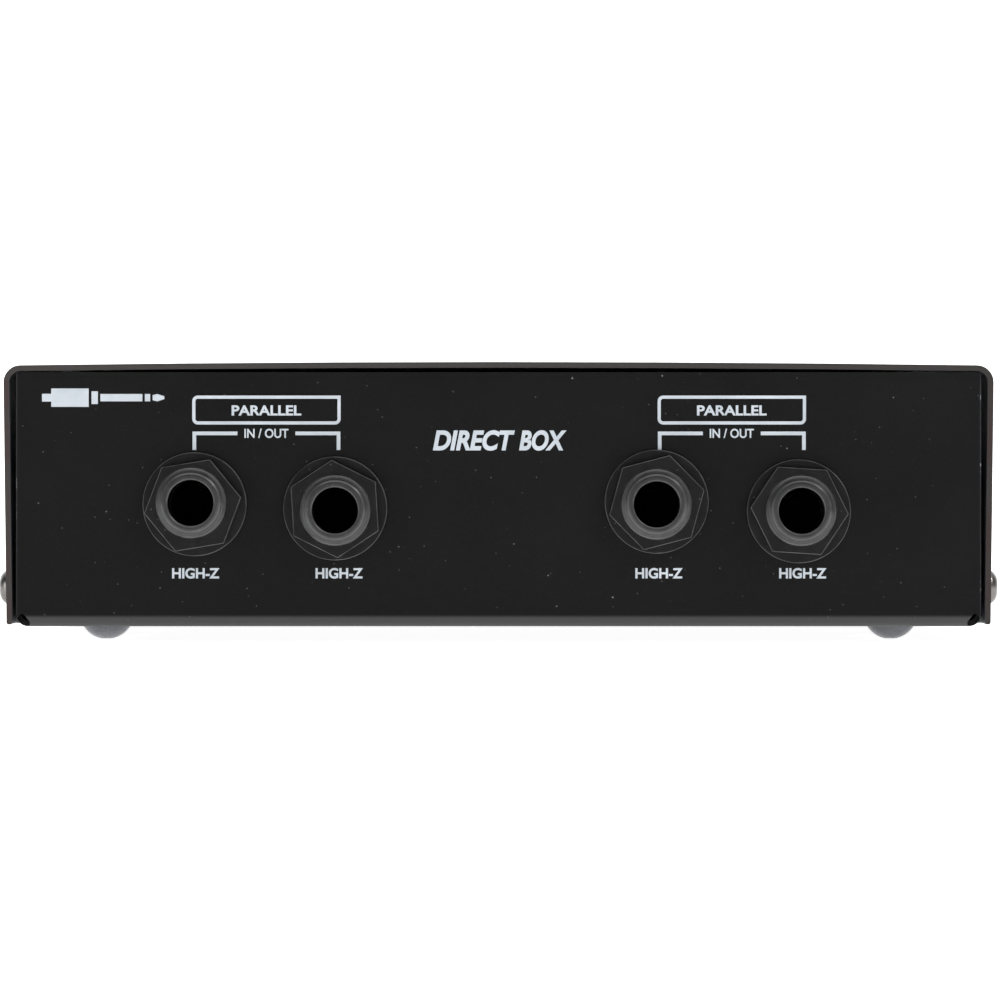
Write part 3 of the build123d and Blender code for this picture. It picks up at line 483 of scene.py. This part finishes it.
def word(name, panel, text, x, z, width, height, weight=0.0, slant=0.0):
    """A word in the plain built-in font, centred at (x, z), fitted to a width and a capital height."""
    curve = bpy.data.curves.new(name, "FONT")
    curve.body = text
    curve.size = 1.0
    curve.offset = weight
    curve.shear = slant
    curve.extrude = 0.0
    curve.resolution_u = 8
    curve.align_x = "CENTER"
    source = bpy.data.objects.new(name + "_curve", curve)
    bpy.context.scene.collection.objects.link(source)
    bpy.context.view_layer.update()
    flat = bpy.data.meshes.new_from_object(source.evaluated_get(bpy.context.evaluated_depsgraph_get()))
    bpy.data.objects.remove(source)
    bpy.data.curves.remove(curve)
    low = [min(v.co[i] for v in flat.vertices) for i in (0, 1)]
    high = [max(v.co[i] for v in flat.vertices) for i in (0, 1)]
    scale = [width / (high[0] - low[0]), height / (high[1] - low[1])]
    points = [(x + (v.co[0] - (low[0] + high[0]) / 2) * scale[0],
               z + (v.co[1] - (low[1] + high[1]) / 2) * scale[1]) for v in flat.vertices]
    faces = [list(face.vertices) for face in flat.polygons]
    bpy.data.meshes.remove(flat)
    return ink_piece(name, panel, points, faces)


def arc(centre, radius, start, end, steps=6):
    """Points on an arc, in degrees."""
    angles = [math.radians(start + (end - start) * i / steps) for i in range(steps + 1)]
    return [(centre[0] + radius * math.cos(a), centre[1] + radius * math.sin(a)) for a in angles]


def frame_corners(x0, x1, z0, z1, radius):
    """Outline of a box, counter-clockwise, with every corner round but the top right one."""
    points = arc((x0 + radius, z1 - radius), radius, 90, 180)
    points += arc((x0 + radius, z0 + radius), radius, 180, 270)
    points += arc((x1 - radius, z0 + radius), radius, 270, 360)
    return points + [(x1, z1)]


def ring_faces(count):
    """Faces between two outlines of count points each, the outer one first."""
    return [[i, (i + 1) % count, count + (i + 1) % count, count + i] for i in range(count)]


def ruled_box(name, panel, x0, x1, z0, z1, line, radius):
    """A printed box drawn with a line of one width."""
    outer = frame_corners(x0, x1, z0, z1, radius)
    inner = frame_corners(x0 + line, x1 - line, z0 + line, z1 - line, radius - line)
    return ink_piece(name, panel, outer + inner, ring_faces(len(outer)))


def bracket(name, panel, x_end, x_text, z_top, z_leg, line):
    """A rule from beside the words to above a jack, and its leg down to the jack."""
    way = 1 if x_text > x_end else -1
    half = line / 2
    points = [(x_end - way * half, z_top + half), (x_text, z_top + half), (x_text, z_top - half),
              (x_end + way * half, z_top - half), (x_end + way * half, z_leg), (x_end - way * half, z_leg)]
    return ink_piece(name, panel, points, [[0, 1, 2, 3], [0, 3, 4, 5]])


def plug_pictogram(name, panel, x, z):
    """A plain solid picture of a plug: cable, grip, collar, shaft, ring and tip."""
    bars = [(0.0, 1.3, 0.55), (1.3, 6.6, 1.3), (7.0, 7.9, 0.9), (8.25, 14.2, 0.52), (14.55, 15.3, 0.52)]
    points, faces = [], []
    for start, end, half in bars:
        first = len(points)
        points += [(x + start, z - half), (x + end, z - half), (x + end, z + half), (x + start, z + half)]
        faces.append([first, first + 1, first + 2, first + 3])
    first = len(points)
    points += [(x + 15.65, z - 0.36), (x + 16.3, z - 0.52), (x + 17.3, z - 0.2), (x + 17.3, z + 0.2),
               (x + 16.3, z + 0.52), (x + 15.65, z + 0.36)]
    faces.append(list(range(first, first + 6)))
    return ink_piece(name, panel, points, faces)


def front_legends():
    """A ruled box and a bracket over each pair of jacks, a label under each jack, the title and the plug."""
    panel = FRONT_FACE
    half = 10.5                      # of the ruled box's width
    box_low, box_high = 28.6, 32.7
    rule_z, leg_z = 27.35, 25.0
    for side, x in (("left", -32.85), ("right", 33.0)):
        ruled_box(f"legend_box_{side}", panel, x - half, x + half, box_low, box_high, 0.45, 0.8)
        word(f"legend_parallel_{side}", panel, "PARALLEL", x, 30.6, 9.85, 1.45, weight=0.03)
        word(f"legend_in_out_{side}", panel, "IN / OUT", x, rule_z, 6.25, 1.32, weight=0.02)
        for tag, end in (("a", -1), ("b", 1)):
            bracket(f"legend_rule_{side}_{tag}", panel, x + end * 10.2, x + end * 4.1, rule_z, leg_z, 0.52)
    for number in range(1, JACKS + 1):
        x = MOUNTS[f"jack_{number}"]["pos_m"][0] / MM + 0.45
        word(f"legend_high_z_{number}", panel, "HIGH-Z", x, 7.55, 6.7, 1.5, weight=0.03)
    for text, x, width in (("DIRECT", -3.5, 11.6), ("BOX", 6.25, 6.7)):
        word(f"legend_{text.lower()}", panel, text, x, 26.35, width, 2.9, weight=0.038, slant=0.22)
    plug_pictogram("legend_plug", panel, -64.6, 32.4)


def rear_legends():
    """Generic labels beside the rear switches and the sockets, read from behind."""
    panel = REAR_FACE
    capital = 1.4                    # height of the capitals
    for number in (1, 2):
        lever = middle_of(f"lift_switch_{number}_case")
        for text, way in (("LIFT", 1), ("GND", -1)):
            z = lever.z + way * 6.7
            word(f"legend_{text.lower()}_{number}", panel, text, lever.x, z, 4.2, capital, weight=0.02)
        pad = middle_of(f"pad_switch_{number}_case")
        word(f"legend_pad_{number}", panel, "PAD", pad.x, pad.z + 8.1, 4.0, capital, weight=0.02)
        for step, (text, width) in enumerate((("-40", 2.6), ("-20", 2.6), ("0", 0.9))):
            z = pad.z + 3.0 * (1 - step)
            word(f"legend_pad_{number}_{step}", panel, text, pad.x + 6.6, z, width, 1.3, weight=0.015)
        x = socket_x(number)
        x += math.copysign(17.5, x)
        word(f"legend_output_{number}", panel, "OUTPUT", x, 31.5, 7.0, 1.3, weight=0.02)


# ------------------------------------------------------------------ studio
def pale_stage():
    """Glowing white floor that sweeps up into a backdrop behind the object, in metres."""
    half_width, near, far, rise, bend = 3.0, -2.2, 1.6, 2.2, 0.5
    profile = [(near, 0.0)] + arc((far - bend, bend), bend, -90, 0, steps=16) + [(far, rise)]
    shape = bmesh.new()
    rows = [[shape.verts.new((side * half_width, y, z)) for side in (-1, 1)] for y, z in profile]
    for low, high in zip(rows, rows[1:]):
        shape.faces.new([low[0], low[1], high[1], high[0]])
    mesh = bpy.data.meshes.new("stage")
    shape.to_mesh(mesh)
    shape.free()
    for face in mesh.polygons:
        face.use_smooth = True
    m = Nodes("stage_paper", Roughness=0.8, Emission_Strength=STAGE_GLOW)
    m.shader.inputs["Emission Color"].default_value = grey(1.0)
    m.set("Base Color", m.blend(m.band(m.noise(30.0), 0.3, 0.7), grey(0.9), grey(0.93)))
    mesh.materials.append(m.material)
    stage = bpy.data.objects.new("stage", mesh)
    bpy.context.scene.collection.objects.link(stage)


def soft_light(name, place, target, size, power):
    """A rectangular lamp at a place, turned to a target: metres and watts."""
    light = bpy.data.lights.new(name, "AREA")
    light.shape = "RECTANGLE"
    light.size, light.size_y = size
    light.energy = power
    lamp = bpy.data.objects.new(name, light)
    lamp.location = place
    lamp.rotation_euler = (Vector(target) - Vector(place)).to_track_quat("-Z", "Y").to_euler()
    bpy.context.scene.collection.objects.link(lamp)


def studio_air():
    """The room: white where it is seen, dim where it only lights the object."""
    world = bpy.data.worlds.new("studio_air")
    world.use_nodes = True
    tree = world.node_tree
    seen = tree.nodes.new("ShaderNodeLightPath").outputs["Is Camera Ray"]
    level = tree.nodes.new("ShaderNodeMapRange")
    level.inputs["To Min"].default_value = ROOM_LIGHT
    level.inputs["To Max"].default_value = 1.0
    tree.links.new(seen, level.inputs["Value"])
    background = tree.nodes["Background"]
    background.inputs["Color"].default_value = grey(1.0)
    tree.links.new(level.outputs["Result"], background.inputs["Strength"])
    bpy.context.scene.world = world


def studio():
    """Stage, room and lamps: one above and behind, two from the upper right, one from the left."""
    pale_stage()
    studio_air()
    middle = (0.0, 0.0, 0.02)
    soft_light("overhead", (0.0, 0.25, 1.5), (0.0, 0.1, 0.0), (2.2, 1.4), 14.0)
    soft_light("key", (0.7, -0.7, 0.7), middle, (0.4, 0.4), 3.3)
    soft_light("rake", (0.8, -0.35, 0.85), middle, (0.25, 0.25), 2.6)
    soft_light("fill", (-0.9, -0.6, 0.2), middle, (0.4, 0.4), 2.2)


def camera():
    """Straight on to the front panel, a little above the middle of its height."""
    data = bpy.data.cameras.new("view")
    data.sensor_width = SENSOR
    data.lens = SENSOR * VIEW_DISTANCE / VIEW_WIDTH
    data.clip_start = 0.01
    eye = bpy.data.objects.new("view", data)
    eye.location = (VIEW_X * MM, FRONT - VIEW_DISTANCE * MM, TRAY + VIEW_Z * MM)
    eye.rotation_euler = (math.pi / 2, 0, 0)
    bpy.context.scene.collection.objects.link(eye)
    bpy.context.scene.camera = eye


camera()
studio()
finish_parts()
front_legends()
rear_legends()
bpy.context.scene.view_settings.view_transform = "Standard"
